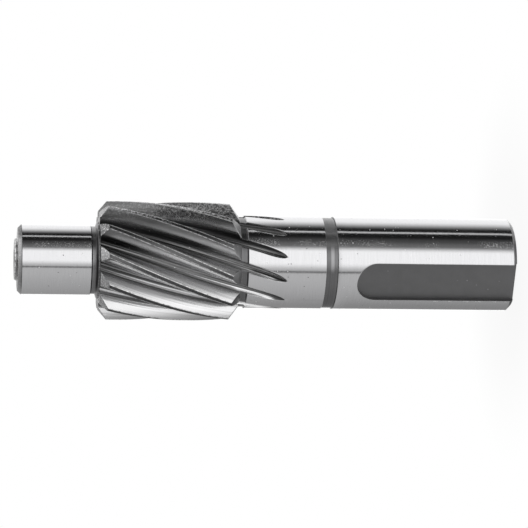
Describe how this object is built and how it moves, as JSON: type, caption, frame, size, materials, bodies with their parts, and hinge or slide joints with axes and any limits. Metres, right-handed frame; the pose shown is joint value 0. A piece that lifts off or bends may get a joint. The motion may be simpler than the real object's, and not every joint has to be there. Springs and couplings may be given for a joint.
{
  "type": "pinion gear",
  "caption": "One-piece helical pinion shaft in ground steel: toothed part between a bearing journal and a longer seat with a slot milled in its drive end.",
  "frame": {"origin": "middle of the drive end's face, on which the shaft stands", "axes": "+Z along the shaft's axis, from the drive end to the bearing journal; -Y is the direction that the slot's floor faces"},
  "size_m": [0.0152, 0.0152, 0.0646],
  "materials": {
    "ground_steel": "ground seats, turned reliefs, hobbed teeth"
  },
  "bodies": {
    "root": {"pinion_shaft": "ground_steel"}
  },
  "joints": []
}
